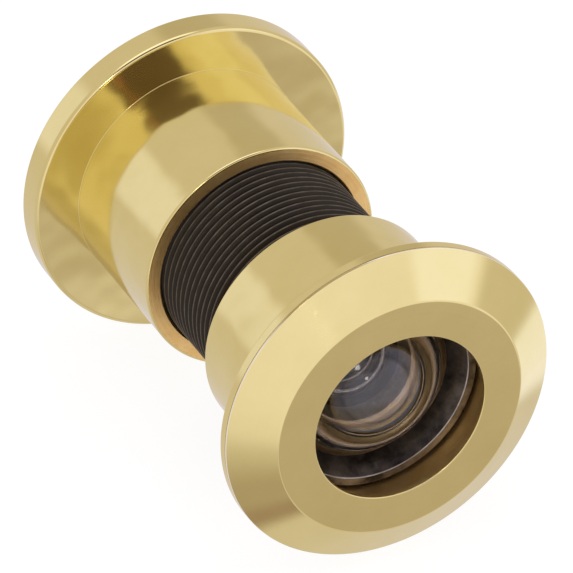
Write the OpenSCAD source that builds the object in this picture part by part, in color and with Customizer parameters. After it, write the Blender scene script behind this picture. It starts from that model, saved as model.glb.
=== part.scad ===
// Door viewer with a wide front lens, clamped through a door by two brass flanges.
// The axis of the viewer lies along Y. The outdoor end faces -Y, the indoor end faces +Y, +Z is up.
// The origin is on the axis, where the outdoor flange meets the face of the door.
// Sections of turned parts are lists of [radius, distance along Y].

/* [Door setting] */
// Distance between the two flanges, which is the thickness of the door
door_gap = 48.8; // [34:0.1:50]

/* [Flanges and hubs] */
// Diameter of both flanges
flange_d = 41; // [40:0.5:46]
// Diameter of the flat face inside each flange's bevel
face_d = 30.9; // [29:0.1:33]
// Height of each bevel
bevel_h = 3.15; // [2.5:0.05:4]
// Width of the outdoor flange's rim
exterior_rim_t = 1.45; // [1:0.05:3]
// Width of the indoor flange's rim
interior_rim_t = 3.5; // [3:0.1:4.5]
// Diameter of both hubs, which fit the hole in the door
hub_d = 29.6; // [29:0.1:32]
// Length of the outdoor hub
exterior_hub_l = 15.5; // [12:0.1:16]
// Length of the indoor hub
interior_hub_l = 18.1; // [17:0.1:18.4]
// Edge break on the rims and hubs
edge_break = 0.2; // [0.1:0.05:0.4]

/* [Barrel] */
// Major diameter of the barrel's thread
thread_d = 25.4; // [25.2:0.1:25.4]
// Pitch of the thread
pitch = 1.0583; // [0.8:0.0001:1.5]
// Depth of the thread
thread_depth = 0.62; // [0.3:0.01:0.7]
// Bore of the barrel behind its lens seat
barrel_bore_d = 22.4; // [22.3:0.1:22.6]
// How far the barrel reaches along Y
barrel_end = 35.8; // [33:0.1:36]
// Distance from the outdoor face to the front of the barrel
barrel_recess = 5.3; // [4.5:0.1:5.6]

/* [Openings and lenses] */
// Diameter of the opening in the outdoor face
opening_d = 21.5; // [20:0.1:22.5]
// Thickness of the lip around the opening
lip_t = 0.7; // [0.5:0.05:1]
// Radius of the objective's front dome
dome_r = 10.9; // [10.6:0.1:11.5]
// Radius of the hollow in the objective's rear
hollow_r = 7.4; // [6:0.1:7.6]
// Diameter of the eyepiece lens
eye_lens_d = 15.6; // [14:0.1:16]

/* [Hidden] */

BRASS = "#D8BE74";
DARK_BRASS = "#A5824A";
BLACK = "#242220";
RUBBER = "#151515";
GLASS = [0.75, 0.85, 0.85, 0.45];

running_gap = 0.06;    // radial gap of a thread or sliding fit, drawn plain
loose_gap = 0.15;      // radial gap around a lens or a ring in its seat
eps = 0.02;            // lets cutters pass through a face

flange_r = flange_d / 2;
face_r = face_d / 2;
hub_r = hub_d / 2;
thread_r = thread_d / 2;
bore_r = barrel_bore_d / 2;
opening_r = opening_d / 2;

// Outdoor half, along Y
face_y = -exterior_rim_t - bevel_h;
lip_y = face_y + lip_t;
barrel_front = face_y + barrel_recess;
relief_gap = 0.25;
relief_l = 1.4;
relief_r = thread_r + relief_gap;        // plain bore between the lip and the thread
relief_end = barrel_front + relief_l;
seat_cone_r = 11.5;                      // mouth of the barrel's front cone
seat_r = 9.9;                            // inner edge of the lens seat
cone_l = 2.15;
seat_land = 0.15;
cone_end = barrel_front + cone_l;
seat_y = cone_end + seat_land;           // front of the objective's flange

// Stack of lenses behind the seat
dome_base_r = 9.45;                      // radius of the objective's dome at its flange
objective_t = 2.3;                       // thickness of the objective's flange
objective_back = seat_y + objective_t;
hollow_centre = objective_back + 0.9;
spacer_front_r = hollow_r + 0.2;
spacer_back_r = hollow_r - 0.6;
spacer_t = 3;
second_front = objective_back + spacer_t;
second_front_r = 26;                     // radius of the second lens's front curve
second_hollow_r = 6.4;
second_hollow_depth = 3.6;
second_t = 3.4;
second_back = second_front + second_t;
second_spacer_r = 6.3;
second_spacer_t = 2.2;
third_front = second_back + second_spacer_t;
third_curve_r = 18;
third_dish = 0.6;                        // depth of the third lens's hollows
third_t = 2.6;
third_back = third_front + third_t;
ring_r = 7;
ring_t = 2.2;
stack_r = bore_r - loose_gap;            // outer radius of everything in the stack

// Indoor half, along Y
sleeve_front = door_gap - interior_hub_l;
rim_end = door_gap + interior_rim_t;
back_y = rim_end + bevel_h;
sleeve_l = 20.7;
web_front = sleeve_front + sleeve_l;     // web that the barrel never reaches
web_t = 0.8;
web_back = web_front + web_t;
web_r = 9.4;
eye_seat_r = 11.2;                       // seat of the eyepiece's flange and its ring
eye_ring_t = 1.3;
eye_ring_back = back_y - 0.35;
eye_ring_front = eye_ring_back - eye_ring_t;
seal_t = 0.45;
eye_flange_front = web_back + seal_t;
eye_flange_back = eye_ring_front - 0.12;
eye_tube_r = 9.1;
eye_tube_l = 11;
eye_tube_front = web_front - eye_tube_l;
eye_lens_r = eye_lens_d / 2;
eye_aperture_r = eye_lens_r - 0.7;
eye_lens_edge_t = 1.5;
eye_lens_front = eye_flange_back - 3;

// A solid turned round the Y axis from a section of [radius, y] points
module turned(section) {
    rotate([-90, 0, 0])
        rotate_extrude($fn = 160)
            polygon(section);
}

// A plain ring from radius r_in to r_out, between y0 and y1
module ring(r_in, r_out, y0, y1) {
    turned([[r_in, y0], [r_out, y0], [r_out, y1], [r_in, y1]]);
}

// A plain round block of radius r between y0 and y1
module disc(r, y0, y1) {
    turned([[0, y0], [r, y0], [r, y1], [0, y1]]);
}

// A ball of radius r with its centre on the axis at y
module ball(r, y) {
    translate([0, y, 0])
        sphere(r = r, $fn = 160);
}

// Two spanner slots across a ring's rear face at y
module spanner_slots(y, r_in, r_out) {
    slot_w = 1.6;
    slot_depth = 0.7;
    for (side = [-1, 1])
        translate([side * (r_in + r_out) / 2, y, 0])
            cube([r_out - r_in + 1, 2 * slot_depth, slot_w], center = true);
}

// Brass flange and hub of the outdoor side, bored through from the rear
module exterior_head() {
    color(BRASS)
        turned([
            [opening_r, face_y], [face_r, face_y],
            [flange_r, -exterior_rim_t], [flange_r, -edge_break], [flange_r - edge_break, 0],
            [hub_r, 0], [hub_r, exterior_hub_l - edge_break], [hub_r - edge_break, exterior_hub_l],
            [thread_r + running_gap + edge_break, exterior_hub_l],
            [thread_r + running_gap, exterior_hub_l - edge_break],
            [thread_r + running_gap, relief_end], [relief_r, relief_end],
            [relief_r, lip_y], [opening_r, lip_y]
        ]);
}

// Black barrel: lens seat in front, thread outside. The thread is drawn as ring grooves.
module threaded_barrel() {
    grooves = floor((barrel_end - barrel_front - 1.6) / pitch);
    first = barrel_front + 0.8;
    root_r = thread_r - thread_depth;
    land = pitch * 0.12;
    thread = [
        for (i = [0 : grooves - 1], p = [[thread_r, land], [root_r, pitch * 0.44],
                                        [root_r, pitch * 0.68], [thread_r, pitch]])
            [p[0], first + i * pitch + p[1]]
    ];
    color(BLACK)
        turned(concat(
            [[seat_cone_r, barrel_front], [thread_r - 0.2, barrel_front], [thread_r, barrel_front + 0.2]],
            thread,
            [[thread_r, barrel_end - 0.3], [thread_r - 0.3, barrel_end], [bore_r, barrel_end],
             [bore_r, seat_y], [seat_r, seat_y], [seat_r, cone_end]]
        ));
}

// Thin seal between the lip and the barrel's front edge
module front_gasket() {
    color(RUBBER)
        ring(opening_r + 0.6, relief_r - 0.1, lip_y + eps, lip_y + 0.5);
}

// Large domed glass with a flange that sits behind the barrel's lens seat
module objective_lens() {
    dome_centre = seat_y + eps + sqrt(pow(dome_r, 2) - pow(dome_base_r, 2));
    color(GLASS)
        difference() {
            union() {
                disc(stack_r, seat_y + eps, objective_back);
                intersection() {
                    ball(dome_r, dome_centre);
                    disc(dome_base_r, face_y, objective_back);
                }
            }
            ball(hollow_r, hollow_centre);
        }
}

// Brass ring behind the objective, opening towards the front
module objective_spacer() {
    color(DARK_BRASS)
        turned([
            [spacer_front_r, objective_back + eps], [stack_r, objective_back + eps],
            [stack_r, second_front - eps], [spacer_back_r, second_front - eps]
        ]);
}

// Smaller meniscus that bears on the spacer's inner edge, hollow towards the rear
module second_lens() {
    curve_centre = second_front + eps + sqrt(pow(second_front_r, 2) - pow(spacer_back_r, 2));
    color(GLASS)
        difference() {
            intersection() {
                disc(stack_r, objective_back, second_back);
                ball(second_front_r, curve_centre);
            }
            ball(second_hollow_r, second_back - second_hollow_depth + second_hollow_r);
        }
}

// Black ring between the second and third lenses
module second_spacer() {
    color(BLACK)
        ring(second_spacer_r, stack_r, second_back + eps, third_front - eps);
}

// Third lens, hollow on both sides
module third_lens() {
    color(GLASS)
        difference() {
            disc(stack_r, third_front, third_back);
            ball(third_curve_r, third_front + third_dish - third_curve_r);
            ball(third_curve_r, third_back - third_dish + third_curve_r);
        }
}

// Threaded black ring that clamps the stack of lenses
module objective_retaining_ring() {
    color(BLACK)
        difference() {
            ring(ring_r, bore_r - running_gap, third_back + eps, third_back + ring_t);
            spanner_slots(third_back + ring_t, ring_r, bore_r);
        }
}

// Slim black tube that carries the eyepiece lens and slides inside the barrel
module eyepiece_tube() {
    lens_seat_r = eye_lens_r + 0.06;
    color(BLACK)
        turned([
            [eye_aperture_r, eye_tube_front], [eye_tube_r, eye_tube_front],
            [eye_tube_r, eye_flange_front], [eye_seat_r - loose_gap, eye_flange_front],
            [eye_seat_r - loose_gap, eye_flange_back], [lens_seat_r, eye_flange_back],
            [lens_seat_r, eye_lens_front], [eye_aperture_r, eye_lens_front]
        ]);
}

// Rubber ring under the eyepiece tube's flange
module eyepiece_seal() {
    color(RUBBER)
        ring(eye_tube_r + 0.1, eye_seat_r - 2 * loose_gap, web_back + 0.1, eye_flange_front - eps);
}

// Positive lens that the eye looks through
module eyepiece_lens() {
    curve_r = 22;
    crown = curve_r - sqrt(curve_r * curve_r - eye_lens_r * eye_lens_r);
    front = eye_lens_front + eps;
    back = front + eye_lens_edge_t;
    color(GLASS)
        intersection() {
            disc(eye_lens_r, front, back + crown);
            ball(curve_r, back + crown - curve_r);
        }
}

// Brass flange and sleeve of the indoor side, with the barrel's thread inside drawn plain
module interior_head() {
    sleeve_r = thread_r + running_gap;
    color(BRASS)
        turned([
            [sleeve_r + edge_break, sleeve_front], [hub_r - edge_break, sleeve_front],
            [hub_r, sleeve_front + edge_break], [hub_r, door_gap],
            [flange_r - edge_break, door_gap], [flange_r, door_gap + edge_break],
            [flange_r, rim_end], [face_r, back_y],
            [eye_seat_r, back_y], [eye_seat_r, web_back], [web_r, web_back], [web_r, web_front],
            [sleeve_r, web_front], [sleeve_r, sleeve_front + edge_break]
        ]);
}

// Threaded black ring that keeps the eyepiece in the indoor flange
module eyepiece_retaining_ring() {
    color(BLACK)
        difference() {
            ring(eye_aperture_r, eye_seat_r - 0.02, eye_ring_front, eye_ring_back);
            spanner_slots(eye_ring_back, eye_aperture_r, eye_seat_r);
        }
}

exterior_head();
threaded_barrel();
front_gasket();
objective_lens();
objective_spacer();
second_lens();
second_spacer();
third_lens();
objective_retaining_ring();
eyepiece_tube();
eyepiece_seal();
eyepiece_lens();
interior_head();
eyepiece_retaining_ring();
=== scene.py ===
"""Door viewer on a pale floor: the looks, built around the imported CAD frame."""

import math

import bmesh
import bpy
import numpy as np
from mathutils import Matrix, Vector


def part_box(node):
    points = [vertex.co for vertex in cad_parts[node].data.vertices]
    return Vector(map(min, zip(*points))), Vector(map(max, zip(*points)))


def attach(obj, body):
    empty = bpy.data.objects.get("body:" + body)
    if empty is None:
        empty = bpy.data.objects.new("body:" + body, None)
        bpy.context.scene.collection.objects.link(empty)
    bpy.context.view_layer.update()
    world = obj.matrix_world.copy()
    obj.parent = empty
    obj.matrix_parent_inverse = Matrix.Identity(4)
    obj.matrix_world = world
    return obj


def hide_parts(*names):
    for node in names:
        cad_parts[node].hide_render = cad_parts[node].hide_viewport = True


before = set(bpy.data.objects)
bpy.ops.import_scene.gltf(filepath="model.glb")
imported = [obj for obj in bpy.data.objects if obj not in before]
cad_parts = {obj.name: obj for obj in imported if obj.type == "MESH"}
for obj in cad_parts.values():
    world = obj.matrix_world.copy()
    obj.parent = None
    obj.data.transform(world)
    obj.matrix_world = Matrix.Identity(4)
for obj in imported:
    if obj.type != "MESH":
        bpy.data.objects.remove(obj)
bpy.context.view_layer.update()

# ---------------------------------------------------------------- sizes, in metres
MM = 0.001
SECTORS = 192                      # steps round a turned part

outer_lo, outer_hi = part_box("exterior_head")
inner_lo, inner_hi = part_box("interior_head")
barrel_lo, barrel_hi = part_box("threaded_barrel")
_, objective_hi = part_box("objective_lens")

FLANGE_R = outer_hi.x
FACE_Y = outer_lo.y                # outdoor face
HUB_END = outer_hi.y               # rear of the outdoor hub
SLEEVE_FRONT = inner_lo.y          # mouth of the indoor sleeve
BACK_Y = inner_hi.y                # indoor face
BARREL_FRONT = barrel_lo.y
BARREL_END = barrel_hi.y
THREAD_R = barrel_hi.x
STACK_R = objective_hi.x           # radius of the lens stack

FACE_R = 15.45 * MM                # flat face inside the bevel
OUTER_RIM = 1.45 * MM
INNER_RIM = 3.5 * MM
BEVEL_H = -FACE_Y - OUTER_RIM
DOOR_GAP = BACK_Y - BEVEL_H - INNER_RIM
HUB_R = 14.8 * MM
OPENING_R = 10.75 * MM
LIP_T = 0.7 * MM
PITCH = 1.0583 * MM
THREAD_DEPTH = 0.62 * MM
BORE_R = 11.2 * MM                 # inside of the barrel
CONE_R = 11.5 * MM                 # mouth of the barrel's front cone
SEAT_R = 9.9 * MM                  # inner edge of the barrel's lens seat
CONE_END = BARREL_FRONT + 2.15 * MM
SEAT_Y = CONE_END + 0.15 * MM
RELIEF_R = THREAD_R + 0.25 * MM    # plain bore between the lip and the thread
RELIEF_END = BARREL_FRONT + 1.4 * MM
THREAD_BORE_R = THREAD_R + 0.06 * MM
SPACER_FRONT_R, SPACER_BACK_R, SPACER_T = 7.6 * MM, 6.8 * MM, 3 * MM
GLASS_GAP = 0.02 * MM              # keeps the objective's flange off its seat


# ---------------------------------------------------------------- mesh helpers
def rounded(corners, steps=6):
    """Outline points from (radius, y, fillet) corners of a closed section."""
    points = []
    count = len(corners)
    for i, (r, y, fillet) in enumerate(corners):
        here = Vector((r, y))
        if fillet == 0:
            points.append(here)
            continue
        before = (Vector(corners[i - 1][:2]) - here).normalized()
        after = (Vector(corners[(i + 1) % count][:2]) - here).normalized()
        half = before.angle(after) / 2
        reach = fillet / math.tan(half)
        centre = here + (before + after).normalized() * (fillet / math.sin(half))
        a = here + before * reach - centre
        b = here + after * reach - centre
        turn = a.angle_signed(b)
        for k in range(steps + 1):
            angle = -turn * k / steps
            spun = Vector((a.x * math.cos(angle) - a.y * math.sin(angle),
                           a.x * math.sin(angle) + a.y * math.cos(angle)))
            points.append(centre + spun)
    return [(p.x, p.y) for p in points]


def arc(radius, centre_y, r_from, r_to, side, steps=24):
    """Points of a ball's section from one distance off the axis to another. side -1 faces outdoors."""
    a, b = math.asin(r_from / radius), math.asin(r_to / radius)
    angles = [a + (b - a) * k / steps for k in range(steps + 1)]
    return [(radius * math.sin(t), centre_y + side * radius * math.cos(t)) for t in angles]


def outline_normals(points, closed, sharp):
    """Two normals per point, for the stretch before it and after it. Long stretches stay flat."""
    p = np.array(points)
    count = len(p)
    nxt = np.roll(p, -1, axis=0) if closed else np.vstack([p[1:], p[-1:]])
    step = nxt - p
    length = np.hypot(step[:, 0], step[:, 1])
    length[length == 0] = 1e-12
    area = np.sum(p[:, 0] * np.roll(p[:, 1], -1) - np.roll(p[:, 0], -1) * p[:, 1])
    side = 1 if area > 0 else -1
    flat = side * np.column_stack([step[:, 1], -step[:, 0]]) / length[:, None]
    segments = count if closed else count - 1
    start, end = flat.copy(), flat.copy()
    for i in range(count):
        j = (i - 1) % count
        if not closed and i in (0, count - 1):
            continue
        if np.dot(flat[i], flat[j]) < math.cos(math.radians(sharp)):
            continue
        mean = flat[i] * length[i] + flat[j] * length[j]
        mean /= np.linalg.norm(mean)
        start[i] = mean
        end[j] = mean
    return start[:segments], end[:segments], side


def turned(name, points, material, body, closed=True, sectors=SECTORS, sharp=25):
    """A solid turned round the Y axis. An open outline starts and ends on the axis.

    material is one material, or a list of them: the first, then (material, test of a radius and a y) pairs.
    """
    start, end, side = outline_normals(points, closed, sharp)
    count = len(points)
    angles = [2 * math.pi * k / sectors for k in range(sectors)]
    verts, first = [], []
    for r, y in points:
        first.append(len(verts))
        if r < 1e-9:
            verts.append((0, y, 0))
        else:
            verts += [(r * math.sin(t), y, r * math.cos(t)) for t in angles]
    faces, normals = [], []

    def turn(n, k):
        t = angles[k % sectors]
        return (n[0] * math.sin(t), n[1], n[0] * math.cos(t))

    def at(i, k):
        return first[i] if points[i][0] < 1e-9 else first[i] + k % sectors

    for i in range(len(start)):
        j = (i + 1) % count
        for k in range(sectors):
            corners = [(at(i, k), start[i], k), (at(i, k + 1), start[i], k + 1),
                       (at(j, k + 1), end[i], k + 1), (at(j, k), end[i], k)]
            if points[i][0] < 1e-9:
                corners.pop(1)
            elif points[j][0] < 1e-9:
                corners.pop(2)
            if side < 0:
                corners.reverse()
            faces.append([c[0] for c in corners])
            normals += [turn(c[1], c[2]) for c in corners]
    mesh = bpy.data.meshes.new(name)
    mesh.from_pydata(verts, [], faces)
    mesh.shade_smooth()
    piece = place(name, mesh, material, body)
    mesh.normals_split_custom_set(normals)
    return piece


def place(name, mesh, material, body):
    """Puts a mesh in the scene. Each face takes the last material whose test it passes, or else the first."""
    first_material, *others = material if isinstance(material, list) else [material]
    piece = bpy.data.objects.new(name, mesh)
    bpy.context.scene.collection.objects.link(piece)
    mesh.materials.append(first_material)
    for slot, (other, takes) in enumerate(others, 1):
        mesh.materials.append(other)
        for face in mesh.polygons:
            middle = sum((mesh.vertices[v].co for v in face.vertices), Vector()) / len(face.vertices)
            if takes(math.hypot(middle.x, middle.z), middle.y):
                face.material_index = slot
    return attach(piece, body)


def stand_in(cad_node):
    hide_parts(cad_node)


# ---------------------------------------------------------------- material helpers
def new_material(name):
    material = bpy.data.materials.new(name)
    material.use_nodes = True
    tree = material.node_tree
    return material, tree, tree.nodes["Principled BSDF"]


def node(tree, kind, inputs=(), **settings):
    """Adds a node, sets its properties, and fills or links its inputs by name or number."""
    made = tree.nodes.new(kind)
    for key, value in settings.items():
        setattr(made, key, value)
    for key, value in dict(inputs).items():
        if isinstance(value, bpy.types.NodeSocket):
            tree.links.new(value, made.inputs[key])
        else:
            made.inputs[key].default_value = value
    return made


def math_node(tree, operation, a, b=0.0):
    return node(tree, "ShaderNodeMath", {0: a, 1: b}, operation=operation).outputs[0]


def ramp(tree, factor, *stops):
    made = node(tree, "ShaderNodeValToRGB", {"Fac": factor})
    elements = made.color_ramp.elements
    while len(elements) < len(stops):
        elements.new(0.5)
    for element, (position, color) in zip(elements, stops):
        element.position = position
        element.color = (*color, 1)
    return made.outputs["Color"]


def noise(tree, vector, scale, detail=4.0, roughness=0.5):
    inputs = {"Vector": vector, "Scale": scale, "Detail": detail, "Roughness": roughness}
    return node(tree, "ShaderNodeTexNoise", inputs).outputs["Fac"]


def turned_coordinates(tree):
    """Object coordinates, the distance off the axis, and a vector that only changes along the section."""
    position = node(tree, "ShaderNodeTexCoord").outputs["Object"]
    parts = node(tree, "ShaderNodeSeparateXYZ", {0: position})
    flat = node(tree, "ShaderNodeCombineXYZ", {0: parts.outputs[0], 2: parts.outputs[2]})
    radius = node(tree, "ShaderNodeVectorMath", {0: flat.outputs[0]}, operation="LENGTH").outputs["Value"]
    section = node(tree, "ShaderNodeCombineXYZ", {0: radius, 1: parts.outputs[1]})
    return position, radius, section.outputs[0]


def surface(tree, shader, color, metallic, roughness, relief=None):
    """Sets a finish. relief is a height with the strength and depth of the bump it makes."""
    tree.links.new(color, shader.inputs["Base Color"])
    if relief:
        height, strength, depth = relief
        bump = node(tree, "ShaderNodeBump", {"Height": height, "Strength": strength, "Distance": depth})
        tree.links.new(bump.outputs[0], shader.inputs["Normal"])
    shader.inputs["Metallic"].default_value = metallic
    shader.inputs["Roughness"].default_value = roughness


# ---------------------------------------------------------------- materials
def polished_brass(name, wave, least_rough):
    """Lacquered brass, buffed on the lathe: faint rings, soft mottling, a few dull specks."""
    material, tree, shader = new_material(name)
    position, _, section = turned_coordinates(tree)
    mottle = noise(tree, position, 160, 5, 0.6)
    color = ramp(tree, mottle, (0.3, (0.775, 0.66, 0.27)), (0.7, (0.815, 0.70, 0.305)))
    tree.links.new(color, shader.inputs["Base Color"])
    rings = noise(tree, section, 2600, 3, 0.7)
    specks = noise(tree, position, 1400, 2, 0.5)
    dull = ramp(tree, specks, (0.66, (0, 0, 0)), (0.78, (1, 1, 1)))
    rough = math_node(tree, "MULTIPLY_ADD", mottle, 0.05)
    rough.node.inputs[2].default_value = least_rough
    rough = math_node(tree, "ADD", rough, math_node(tree, "MULTIPLY", dull, 0.06))
    tree.links.new(rough, shader.inputs["Roughness"])
    waves = noise(tree, position, 90, 2, 0.4)
    bump = node(tree, "ShaderNodeBump", {"Height": rings, "Strength": 0.012, "Distance": 0.0002})
    wavy = node(tree, "ShaderNodeBump", {"Height": waves, "Strength": wave, "Distance": 0.0004,
                                         "Normal": bump.outputs[0]})
    tree.links.new(wavy.outputs[0], shader.inputs["Normal"])
    shader.inputs["Metallic"].default_value = 1.0
    return material


def painted_edge_light():
    """The bevel's outer corner, coloured by its x position: near white far to the left and from the middle
    rightwards, dark brown in between. A painted highlight and painted shade along the edge line.
    """
    material, tree, shader = new_material("painted_edge_light")
    position, _, _ = turned_coordinates(tree)
    across = node(tree, "ShaderNodeSeparateXYZ", {0: position}).outputs[0]
    side = math_node(tree, "DIVIDE", across, FLANGE_R)
    mottle = noise(tree, position, 300, 4, 0.6)
    side = math_node(tree, "ADD", side, math_node(tree, "MULTIPLY", mottle, 0.12))
    side = math_node(tree, "ADD", side, 0.94)
    # near white stops: painted highlight; dark brown stops: painted shade
    color = ramp(tree, side, (0.24, (1.0, 0.97, 0.84)), (0.38, (0.42, 0.32, 0.13)),
                 (0.82, (0.45, 0.35, 0.15)), (0.94, (0.95, 0.90, 0.70)))
    surface(tree, shader, color, 1.0, 0.12)
    return material


def satin_brass():
    """The inside of the brass heads, as the lathe left it."""
    material, tree, shader = new_material("satin_brass")
    position, _, section = turned_coordinates(tree)
    mottle = noise(tree, position, 500, 4, 0.6)
    color = ramp(tree, mottle, (0.3, (0.92, 0.62, 0.22)), (0.7, (1.0, 0.73, 0.30)))
    rings = noise(tree, section, 4500, 3, 0.7)
    surface(tree, shader, color, 1.0, 0.45, relief=(rings, 0.35, 0.00012))
    return material


def dull_brass():
    """Turned brass that was never polished."""
    material, tree, shader = new_material("dull_brass")
    position, _, section = turned_coordinates(tree)
    mottle = noise(tree, position, 400, 4, 0.6)
    color = ramp(tree, mottle, (0.3, (0.80, 0.58, 0.30)), (0.7, (0.95, 0.72, 0.40)))
    rings = noise(tree, section, 5000, 3, 0.7)
    surface(tree, shader, color, 1.0, 0.32, relief=(rings, 0.3, 0.0001))
    return material


def black_finish(name, dark, light, rough, patch=900):
    """Black chemical finish on turned metal, rubbed lighter where the noise is high. Given pale colours it
    also makes the chamfer at the barrel's mouth, a painted highlight.
    """
    material, tree, shader = new_material(name)
    position, _, section = turned_coordinates(tree)
    rub = noise(tree, position, patch, 5, 0.65)
    color = ramp(tree, rub, (0.38, dark), (0.66, light))
    rings = noise(tree, section, 6000, 3, 0.7)
    surface(tree, shader, color, 0.6, rough, relief=(rings, 0.25, 0.00008))
    return material


def thread_finish():
    """The barrel's black finish, lighter towards the thread's crests: grey metal from wear and a painted
    highlight.
    """
    material, tree, shader = new_material("thread_finish")
    position, radius, _ = turned_coordinates(tree)
    patchy = noise(tree, position, 700, 4, 0.6)
    height = math_node(tree, "SUBTRACT", radius, THREAD_R - 0.16 * MM)
    height = math_node(tree, "DIVIDE", height, 0.16 * MM)
    # lighter with height towards the crests: wear and a painted highlight
    crest_light_and_wear = math_node(tree, "MULTIPLY", height, math_node(tree, "ADD", patchy, 0.25))
    color = ramp(tree, crest_light_and_wear, (0.35, (0.026, 0.021, 0.014)), (0.95, (0.16, 0.14, 0.105)))
    surface(tree, shader, color, 0.5, 0.45)
    shader.inputs["Specular Tint"].default_value = (0.95, 0.85, 0.65, 1)
    return material


def rubber():
    material, tree, shader = new_material("black_rubber")
    position, _, _ = turned_coordinates(tree)
    grain = noise(tree, position, 3000, 3, 0.6)
    color = ramp(tree, grain, (0.3, (0.012, 0.012, 0.012)), (0.7, (0.03, 0.028, 0.026)))
    surface(tree, shader, color, 0.0, 0.6, relief=(grain, 0.2, 0.0001))
    return material


def clear_glass():
    """Polished optical glass with a faint straw tint."""
    material, tree, shader = new_material("clear_glass")
    position, _, _ = turned_coordinates(tree)
    film = noise(tree, position, 220, 3, 0.5)
    color = ramp(tree, film, (0.3, (0.95, 0.925, 0.865)), (0.7, (0.985, 0.96, 0.905)))
    surface(tree, shader, color, 0.0, 0.0)
    shader.inputs["Transmission Weight"].default_value = 1.0
    shader.inputs["IOR"].default_value = 1.52
    return material


def ground_glass():
    """The second lens's ground rim, which shows as a pale silvery surface through the glass."""
    material, tree, shader = new_material("ground_glass")
    position, _, _ = turned_coordinates(tree)
    grain = noise(tree, position, 2600, 5, 0.7)
    color = ramp(tree, grain, (0.3, (0.88, 0.85, 0.83)), (0.7, (1.0, 0.98, 0.96)))
    surface(tree, shader, color, 1.0, 0.14, relief=(grain, 0.4, 0.0001))
    return material


def edge_varnish():
    """Tan varnish on the objective's ground edge."""
    material, tree, shader = new_material("edge_varnish")
    position, _, _ = turned_coordinates(tree)
    mottle = noise(tree, position, 900, 4, 0.6)
    color = ramp(tree, mottle, (0.3, (0.86, 0.66, 0.42)), (0.7, (0.98, 0.78, 0.54)))
    surface(tree, shader, color, 1.0, 0.4)
    return material


def satin_nickel():
    """Pale plating with a fine matt grain."""
    material, tree, shader = new_material("satin_nickel")
    position, _, _ = turned_coordinates(tree)
    grain = noise(tree, position, 2200, 4, 0.7)
    color = ramp(tree, grain, (0.3, (0.80, 0.77, 0.74)), (0.7, (0.97, 0.94, 0.92)))
    surface(tree, shader, color, 1.0, 0.5, relief=(grain, 0.3, 0.0001))
    return material


BRASS = polished_brass("polished_brass", 0.07, 0.055)
HUB_BRASS = polished_brass("hand_buffed_brass", 0.9, 0.085)
# The bevel's outer corner: painted highlight and painted shade, set by x position
EDGE_LIGHT_PAINT = painted_edge_light()
SATIN = satin_brass()
DULL = dull_brass()
BLACK = black_finish("black_finish", (0.016, 0.012, 0.009), (0.060, 0.050, 0.040), 0.34)
STAINED = black_finish("stained_black", (0.016, 0.012, 0.009), (0.12, 0.10, 0.075), 0.3, 300)
BARE = black_finish("rubbed_edge", (0.05, 0.042, 0.034), (0.55, 0.48, 0.38), 0.26, 200)
BLACKENED = black_finish("blackened_wall", (0.32, 0.265, 0.15), (0.45, 0.385, 0.23), 0.5)
# pale all round: a painted highlight on the chamfer at the barrel's mouth
CHAMFER_HIGHLIGHT = black_finish("painted_chamfer_highlight", (0.40, 0.36, 0.30), (0.60, 0.55, 0.48), 0.3)
THREAD = thread_finish()
RUBBER = rubber()
GLASS = clear_glass()
GROUND = ground_glass()
VARNISH = edge_varnish()
NICKEL = satin_nickel()


# ---------------------------------------------------------------- pieces
def exterior_head():
    soft, line = 0.5 * MM, 0.07 * MM   # line: size of the fine groove and bead at the bevel's edge
    groove_r = FLANGE_R - 1.5 * line
    outline = rounded([
        (OPENING_R, FACE_Y, 0.12 * MM), (FACE_R, FACE_Y, soft),
        (FLANGE_R, -OUTER_RIM, 1.8 * line), (FLANGE_R, 2.2 * line - OUTER_RIM, 0),
        (groove_r, 2.4 * line - OUTER_RIM, 0), (groove_r, 3 * line - OUTER_RIM, 0),
        (FLANGE_R, 3.2 * line - OUTER_RIM, 0),
        (FLANGE_R, 0, 0.2 * MM), (HUB_R, 0, 0.15 * MM), (HUB_R, HUB_END, 0.25 * MM),
        (THREAD_BORE_R, HUB_END, 0.2 * MM), (THREAD_BORE_R, RELIEF_END, 0),
        (RELIEF_R, RELIEF_END, 0), (RELIEF_R, FACE_Y + LIP_T, 0),
        (OPENING_R, FACE_Y + LIP_T, 0.1 * MM)
    ])
    # the bevel's outer corner takes the painted highlight and painted shade
    finishes = [BRASS, (EDGE_LIGHT_PAINT, lambda r, y: r > FLANGE_R - 0.15 * MM and y < 1.5 * line - OUTER_RIM),
                (HUB_BRASS, lambda r, y: r < HUB_R + 0.1 * MM and y > 0.2 * MM),
                (SATIN, lambda r, y: r < HUB_R - 0.3 * MM and y > FACE_Y + 0.1 * MM)]
    piece = turned("outdoor_flange", outline, finishes, "exterior")
    stand_in("exterior_head")


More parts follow.
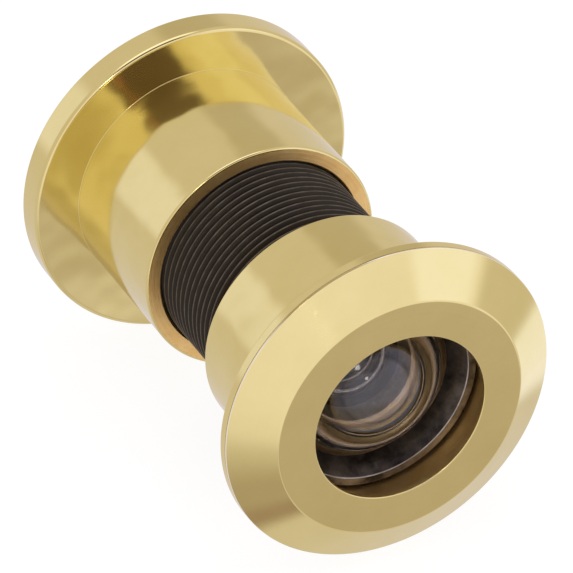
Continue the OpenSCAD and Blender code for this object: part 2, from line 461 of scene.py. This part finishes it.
def interior_head():
    mouth_r = THREAD_BORE_R + 0.25 * MM
    dish = 0.2 * MM                    # the door side of the flange is turned slightly hollow
    seat_r, web_r = 11.2 * MM, 9.4 * MM
    sleeve_l, web_t = 20.7 * MM, 0.8 * MM
    web_front = SLEEVE_FRONT + sleeve_l
    web_back = web_front + web_t
    rim_end = DOOR_GAP + INNER_RIM
    outline = rounded([
        (mouth_r, SLEEVE_FRONT, 0.1 * MM), (HUB_R, SLEEVE_FRONT, 0.3 * MM),
        (HUB_R, DOOR_GAP + dish, 0.06 * MM), (FLANGE_R, DOOR_GAP, 0.5 * MM),
        (FLANGE_R, rim_end, 0.2 * MM), (FACE_R, BACK_Y, 0.5 * MM),
        (seat_r, BACK_Y, 0.15 * MM), (seat_r, web_back, 0),
        (web_r, web_back, 0), (web_r, web_front, 0), (THREAD_BORE_R, web_front, 0),
        (THREAD_BORE_R, SLEEVE_FRONT + 0.4 * MM, 0)
    ])
    finishes = [BRASS, (HUB_BRASS, lambda r, y: r < FLANGE_R - 0.3 * MM and y < DOOR_GAP + 0.3 * MM),
                (SATIN, lambda r, y: r < HUB_R - 0.28 * MM and y < BACK_Y - 0.3 * MM)]
    piece = turned("indoor_flange", outline, finishes, "interior")
    stand_in("interior_head")


def thread_radius(phase, y, start, end):
    """Radius of the thread at a phase of its pitch, running out at both ends."""
    phases = [0.0, 0.08, 0.16, 0.5, 0.62, 0.96, 1.0]
    depths = [0.04, 0, 0.04, 0.94, 0.94, 0.1, 0.04]
    profile = np.interp(phase, phases, depths)
    run_out = np.clip((y - start) / PITCH, 0, 1) * np.clip((end - y) / PITCH, 0, 1)
    return THREAD_R - THREAD_DEPTH * profile * run_out


def threaded_barrel():
    """Barrel with a right-handed helical thread outside and the lens seat inside."""
    per_turn, columns = 12, 160
    start, end = BARREL_FRONT + 0.25 * MM, BARREL_END - 0.3 * MM
    rows = int(math.ceil((end - start) / PITCH) + 1) * per_turn + 1
    i, j = np.meshgrid(np.arange(rows), np.arange(columns), indexing="ij")
    theta = 2 * np.pi * j / columns
    lead = PITCH * theta / (2 * np.pi)
    y = np.clip(start - PITCH + i * PITCH / per_turn + lead, start, end)
    radius = thread_radius(((y - lead - start) / PITCH) % 1.0, y, start, end)
    grid = np.stack([radius * np.sin(theta), y, radius * np.cos(theta)], -1)

    rings = [
        (THREAD_R - 0.25 * MM, BARREL_FRONT), (CONE_R + 0.07 * MM, BARREL_FRONT),
        (CONE_R - 0.03 * MM, BARREL_FRONT + 0.09 * MM), (SEAT_R, CONE_END), (SEAT_R, SEAT_Y),
        (BORE_R, SEAT_Y), (BORE_R, BARREL_END), (THREAD_R - 0.3 * MM, BARREL_END)
    ]
    verts = [tuple(v) for v in grid.reshape(-1, 3)]
    ring_first = len(verts)
    for r, ring_y in rings:
        verts += [(r * math.sin(t), ring_y, r * math.cos(t)) for t in theta[0]]
    faces = []
    for row in range(rows - 1):
        for col in range(columns):
            if col < columns - 1:
                right = [row * columns + col + 1, (row + 1) * columns + col + 1]
            elif row + 1 + per_turn < rows:
                right = [(row + per_turn) * columns, (row + 1 + per_turn) * columns]
            else:
                continue
            faces.append([row * columns + col, right[0], right[1], (row + 1) * columns + col])
    for k in range(len(rings) - 1):
        for col in range(columns):
            a, b = ring_first + k * columns, ring_first + (k + 1) * columns
            faces.append([a + col, b + col, b + (col + 1) % columns, a + (col + 1) % columns])
    front_ring, back_ring = ring_first, ring_first + (len(rings) - 1) * columns
    last_row = (rows - 1) * columns
    for col in range(columns):
        nxt = (col + 1) % columns
        faces.append([front_ring + col, front_ring + nxt, nxt, col])
        faces.append([back_ring + col, last_row + col, last_row + nxt, back_ring + nxt])
    mesh = bpy.data.meshes.new("threaded_barrel_skin")
    mesh.from_pydata(verts, [], faces)
    shape = bmesh.new()
    shape.from_mesh(mesh)
    bmesh.ops.remove_doubles(shape, verts=shape.verts, dist=1e-7)
    bmesh.ops.dissolve_degenerate(shape, edges=shape.edges, dist=1e-8)
    bmesh.ops.recalc_face_normals(shape, faces=shape.faces)
    shape.to_mesh(mesh)
    shape.free()
    mesh.shade_smooth()
    mesh.set_sharp_from_angle(angle=math.radians(38))
    corner_in, corner_out = CONE_R - 0.02 * MM, CONE_R + 0.06 * MM
    # the chamfer at the mouth of the front cone is painted pale, a painted highlight
    finishes = [THREAD, (STAINED, lambda r, y: r <= corner_in),
                (BARE, lambda r, y: r >= corner_out and y < BARREL_FRONT + 0.01 * MM),
                (CHAMFER_HIGHLIGHT, lambda r, y: corner_in < r < corner_out)]
    piece = place("helical_barrel", mesh, finishes, "exterior")
    stand_in("threaded_barrel")


def ring(name, corners, material, body, cad_node):
    piece = turned(name, rounded(corners), material, body)
    stand_in(cad_node)


def front_gasket():
    lo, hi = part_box("front_gasket")
    inner, edge = OPENING_R + 0.6 * MM, 0.1 * MM
    corners = [(inner, lo.y, edge), (hi.x, lo.y, edge), (hi.x, hi.y, edge), (inner, hi.y, edge)]
    ring("lip_seal", corners, RUBBER, "exterior", "front_gasket")


def objective_lens():
    """Domed lens with a varnished edge and a wide hollow behind."""
    back = objective_hi.y
    dome_r, dome_edge, hollow_r = 10.9 * MM, 9.45 * MM, 7.4 * MM
    dome_centre = SEAT_Y + math.sqrt(dome_r ** 2 - dome_edge ** 2)
    hollow_centre = back + 0.9 * MM
    mouth_r = math.sqrt(hollow_r ** 2 - (hollow_centre - back) ** 2)
    front = arc(dome_r, dome_centre, 0, dome_edge, -1, 40)
    flange = [(dome_edge, SEAT_Y + GLASS_GAP), (STACK_R, SEAT_Y + GLASS_GAP), (STACK_R, back)]
    hollow = arc(hollow_r, hollow_centre, mouth_r, 0, -1, 40)
    finishes = [GLASS, (VARNISH, lambda r, y: r > STACK_R - 0.1 * MM)]
    piece = turned("objective_glass", front + flange + hollow, finishes, "exterior", closed=False)
    stand_in("objective_lens")


def objective_spacer():
    lo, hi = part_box("objective_spacer")
    edge = 0.05 * MM
    corners = [(SPACER_FRONT_R, lo.y, edge), (hi.x, lo.y, 0), (hi.x, hi.y, 0), (SPACER_BACK_R, hi.y, edge)]
    finishes = [DULL, (BLACKENED, lambda r, y: r < SPACER_FRONT_R - 0.03 * MM)]
    ring("brass_spacer", corners, finishes, "exterior", "objective_spacer")


def second_lens():
    """Meniscus with a ground rim that bears on the spacer's inner edge."""
    _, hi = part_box("second_lens")
    front_r, hollow_r, hollow_depth = 26 * MM, 6.4 * MM, 3.6 * MM
    front_centre = objective_hi.y + SPACER_T + math.sqrt(front_r ** 2 - SPACER_BACK_R ** 2)
    hollow_centre = hi.y - hollow_depth + hollow_r
    hollow_edge = math.sqrt(hollow_r ** 2 - (hollow_centre - hi.y) ** 2)
    outline = (arc(front_r, front_centre, 0, hi.x, -1, 40) + [(hi.x, hi.y)]
               + arc(hollow_r, hollow_centre, hollow_edge, 0, -1, 40))
    finishes = [GLASS, (GROUND, lambda r, y: r > hi.x - 0.1 * MM)]
    piece = turned("second_glass", outline, finishes, "exterior", closed=False)
    stand_in("second_lens")


def third_lens():
    lo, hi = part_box("third_lens")
    curve_r, dish = 18 * MM, 0.6 * MM
    edge = math.sqrt(curve_r ** 2 - (curve_r - dish) ** 2)
    front = arc(curve_r, lo.y - curve_r + dish, 0, edge, 1, 16)
    rear = arc(curve_r, hi.y + curve_r - dish, edge, 0, -1, 16)
    outline = front + [(hi.x, lo.y), (hi.x, hi.y)] + rear
    piece = turned("third_glass", outline, GLASS, "exterior", closed=False)
    stand_in("third_lens")


def eyepiece_lens():
    lo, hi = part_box("eyepiece_lens")
    curve_r = 22 * MM
    outline = [(0, lo.y), (hi.x, lo.y)] + arc(curve_r, hi.y - curve_r, hi.x, 0, 1, 24)
    piece = turned("eyepiece_glass", outline, GLASS, "eyepiece", closed=False)
    stand_in("eyepiece_lens")


def finish_cad_nodes():
    """CAD nodes whose shape is right keep it and take a finer material."""
    for name, material, slot in [("second_spacer", BLACK, "black_barrel"),
                                 ("objective_retaining_ring", NICKEL, "dull_brass"),
                                 ("eyepiece_tube", BLACK, "black_barrel"),
                                 ("eyepiece_seal", RUBBER, "black_rubber"),
                                 ("eyepiece_retaining_ring", BLACK, "black_barrel")]:
        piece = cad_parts[name]
        piece.data.materials.clear()
        piece.data.materials.append(material)


# ---------------------------------------------------------------- stage, light and camera
def smooth_band(tree, value, centre, half, soft, wraps=False):
    """1 where value is within half of centre, fading to 0 over soft on each side."""
    off = math_node(tree, "SUBTRACT", value, centre)
    if wraps:
        off = math_node(tree, "WRAP", off, 180.0)
        off.node.inputs[2].default_value = -180.0
    off = math_node(tree, "ABSOLUTE", off)
    inputs = {"Value": off, "From Min": half + soft, "From Max": half - soft, "To Min": 0.0, "To Max": 1.0}
    band = node(tree, "ShaderNodeMapRange", inputs, interpolation_type="SMOOTHSTEP")
    return band.outputs["Result"]


# Soft boxes and cards round the set: azimuth, half width, elevation, half height, softness, colour.
# Azimuth 0 is straight in front of the lens and 90 is to its right; angles are in degrees.
CARDS = [
    (0, 181, -60, 46, 10, (0.70, 0.66, 0.57)),       # table
    (152, 15, 33, 14, 5, (0.56, 0.505, 0.39)),       # dim wall behind, right
    (-141, 7, 12, 16, 4, (0.88, 0.86, 0.84)),        # lit strip behind, left
    (12, 50, 2, 34, 6, (0.94, 0.91, 0.87)),          # wide glow in front
    (68, 9, -9, 12, 3, (0.68, 0.635, 0.52)),         # gap
    (45, 12, 16, 12, 3, (1.05, 1.06, 1.12)),         # soft box, right
    (90, 12, -31, 10, 3, (1.0, 1.02, 1.1)),          # low soft box, right
    (25, 22, -40, 7, 6, (0.53, 0.47, 0.38)),         # card below the lens
    (-36, 16, -57, 14, 12, (0.47, 0.41, 0.32)),      # shaded table, left
    (-30, 12, -69, 5, 4, (0.39, 0.31, 0.24)),
    (-2, 28, 50, 18, 3, (0.14, 0.105, 0.10)),        # dark room behind the camera
    (-21, 4, 38, 3, 2, (0.34, 0.19, 0.15)),          # warm spot beside the camera
    (0, 181, 85, 20, 4, (1.3, 1.3, 1.3)),            # top light
    (-15, 3, 23, 3, 1, (9, 8.6, 6.8)),               # lamp near the camera, a glint in the lens
]
WALLS = (0.69, 0.64, 0.53)
LIGHT_TINT = (1.09, 1.08, 1.33)    # the studio light is cooler than the brass it falls on


def surroundings():
    world = bpy.data.worlds.new("studio")
    bpy.context.scene.world = world
    world.use_nodes = True
    tree = world.node_tree
    direction = node(tree, "ShaderNodeTexCoord").outputs["Generated"]
    parts = node(tree, "ShaderNodeSeparateXYZ", {0: direction})
    front = math_node(tree, "MULTIPLY", parts.outputs[1], -1.0)
    azimuth = math_node(tree, "ARCTAN2", parts.outputs[0], front)
    azimuth = math_node(tree, "MULTIPLY", azimuth, 180 / math.pi)
    elevation = math_node(tree, "ARCSINE", parts.outputs[2])
    elevation = math_node(tree, "MULTIPLY", elevation, 180 / math.pi)
    color = node(tree, "ShaderNodeRGB")
    color.outputs[0].default_value = (*WALLS, 1)
    color = color.outputs[0]
    for az, half_az, el, half_el, soft, paint in CARDS:
        across = smooth_band(tree, azimuth, az, half_az, soft, wraps=True)
        up = smooth_band(tree, elevation, el, half_el, soft)
        mask = math_node(tree, "MULTIPLY", across, up)
        mix = node(tree, "ShaderNodeMix", {0: mask, 6: color, 7: (*paint, 1)}, data_type="RGBA")
        color = mix.outputs[2]
    tint = node(tree, "ShaderNodeMix", {0: 1.0, 6: color, 7: (*LIGHT_TINT, 1)}, data_type="RGBA",
                blend_type="MULTIPLY")
    background = tree.nodes["Background"]
    tree.links.new(tint.outputs[2], background.inputs["Color"])


def floor_material():
    material, tree, shader = new_material("pale_floor")
    position = node(tree, "ShaderNodeTexCoord").outputs["Object"]
    faint = noise(tree, position, 40, 3, 0.5)
    color = ramp(tree, faint, (0.3, (0.15, 0.15, 0.14)), (0.7, (0.17, 0.17, 0.16)))
    tree.links.new(color, shader.inputs["Base Color"])
    shader.inputs["Roughness"].default_value = 0.9
    shader.inputs["Specular IOR Level"].default_value = 0.1
    shader.inputs["Emission Color"].default_value = (1, 1, 1, 1)
    shader.inputs["Emission Strength"].default_value = 0.9
    return material


def stage():
    """Pale floor and a pale dome beyond it, seen by the camera only; the cards light the viewer."""
    size = 40.0
    mesh = bpy.data.meshes.new("floor")
    bm = bmesh.new()
    bmesh.ops.create_grid(bm, x_segments=1, y_segments=1, size=size)
    bm.to_mesh(mesh)
    bm.free()
    floor = bpy.data.objects.new("floor", mesh)
    floor.location.z = -FLANGE_R
    mesh.materials.append(floor_material())
    dome_mesh = bpy.data.meshes.new("backdrop")
    bm = bmesh.new()
    bmesh.ops.create_uvsphere(bm, u_segments=48, v_segments=24, radius=size * 0.9)
    bm.to_mesh(dome_mesh)
    bm.free()
    dome = bpy.data.objects.new("backdrop", dome_mesh)
    glow, tree, shader = new_material("pale_backdrop")
    shader.inputs["Base Color"].default_value = (0, 0, 0, 1)
    shader.inputs["Emission Color"].default_value = (1, 1, 1, 1)
    shader.inputs["Emission Strength"].default_value = 1.0
    dome_mesh.materials.append(glow)
    for backdrop in (floor, dome):
        bpy.context.scene.collection.objects.link(backdrop)
        backdrop.visible_diffuse = False
        backdrop.visible_glossy = False
        backdrop.visible_transmission = False
    dome.visible_shadow = False


def camera():
    """Camera above and in front of the lens, to its left, looking at the middle of the barrel."""
    azimuth, elevation, distance = math.radians(-26.8), math.radians(35.46), 0.7678
    back = Vector((math.sin(azimuth) * math.cos(elevation), -math.cos(azimuth) * math.cos(elevation),
                   math.sin(elevation)))
    right = Vector((0, 0, 1)).cross(back).normalized()
    up = back.cross(right)
    aim = Vector((0, -OUTER_RIM, 0)) - 11.47 * MM * right + 13.19 * MM * up
    data = bpy.data.cameras.new("camera")
    data.sensor_width = 36
    data.lens = 425.7
    data.clip_start, data.clip_end = 0.05, 200
    eye = bpy.data.objects.new("camera", data)
    eye.location = aim + back * distance
    eye.rotation_mode = "QUATERNION"
    eye.rotation_quaternion = back.to_track_quat("Z", "Y")
    bpy.context.scene.collection.objects.link(eye)
    bpy.context.scene.camera = eye


camera()
surroundings()
stage()
exterior_head()
interior_head()
threaded_barrel()
front_gasket()
objective_lens()
objective_spacer()
second_lens()
third_lens()
eyepiece_lens()
finish_cad_nodes()

bpy.context.scene.view_settings.view_transform = "Standard"
bpy.context.scene.view_settings.look = "None"
